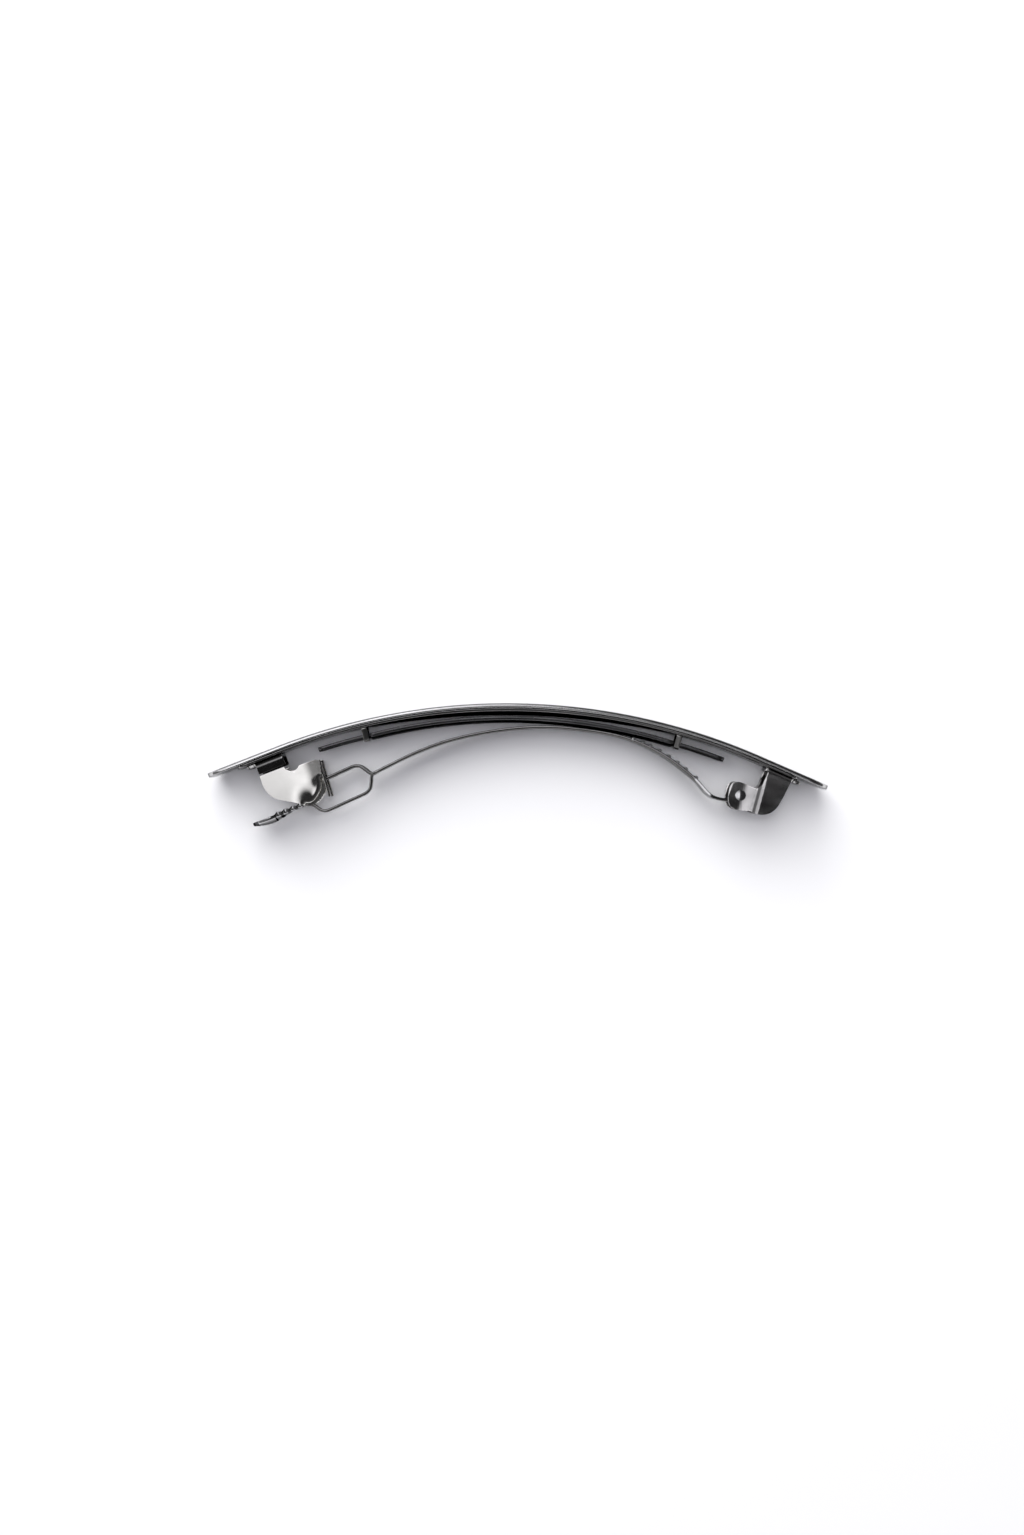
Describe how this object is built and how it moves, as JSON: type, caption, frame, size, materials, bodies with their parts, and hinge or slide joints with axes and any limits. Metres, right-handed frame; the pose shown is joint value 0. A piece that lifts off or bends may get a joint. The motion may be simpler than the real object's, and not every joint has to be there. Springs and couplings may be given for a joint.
{
  "type": "hair barrette",
  "caption": "Arched metal hair barrette with a swinging clasp arm, a pinned hinge, a sprung middle strip and two squeeze-to-open latch ears.",
  "frame": {"origin": "under the middle of the barrette's box, on the surface its long edge rests on", "axes": "+X along the barrette from the latch towards the hinge, +Y out through the arch, +Z across the width"},
  "size_m": [0.088, 0.0184, 0.01],
  "materials": {
    "cover_metal": "polished dark nickel",
    "frame_metal": "polished dark nickel",
    "spring_metal": "rolled spring steel, nickel plated",
    "ear_metal": "bright polished nickel",
    "pin_metal": "bright turned pin"
  },
  "bodies": {
    "frame": {"cover_plate": "cover_metal", "base_plate": "frame_metal", "latch_bracket": "frame_metal", "hinge_bracket": "frame_metal", "hinge_pin": "pin_metal"},
    "bow": {"tension_bow": "spring_metal"},
    "arm": {"clasp_arm": "spring_metal"},
    "near_ear": {"near_latch_ear": "ear_metal"},
    "far_ear": {"far_latch_ear": "ear_metal"}
  },
  "joints": [
    {"name": "arm_swing", "type": "hinge", "parent": "frame", "child": "arm", "pos_m": [0.03155, -0.00321, 0.005], "axis": [0, 0, 1], "range_deg": [0, 105]},
    {"name": "near_ear_squeeze", "type": "hinge", "parent": "frame", "child": "near_ear", "pos_m": [-0.03467, -0.00104, 0.00877], "axis": [0.9245, 0.3811, 0], "range_deg": [0, 4], "stiffness_Nm_per_rad": 0.03},
    {"name": "far_ear_squeeze", "type": "hinge", "parent": "frame", "child": "far_ear", "pos_m": [-0.03467, -0.00104, 0.00123], "axis": [-0.9245, -0.3811, 0], "range_deg": [0, 4], "stiffness_Nm_per_rad": 0.03},
    {"name": "bow_press", "type": "slide", "parent": "frame", "child": "bow", "axis": [0, 1, 0], "range_m": [0, 0.0005], "stiffness_N_per_m": 400}
  ],
  "couplings": [
    {"joint": "far_ear_squeeze", "follows": "near_ear_squeeze", "ratio": 1}
  ]
}
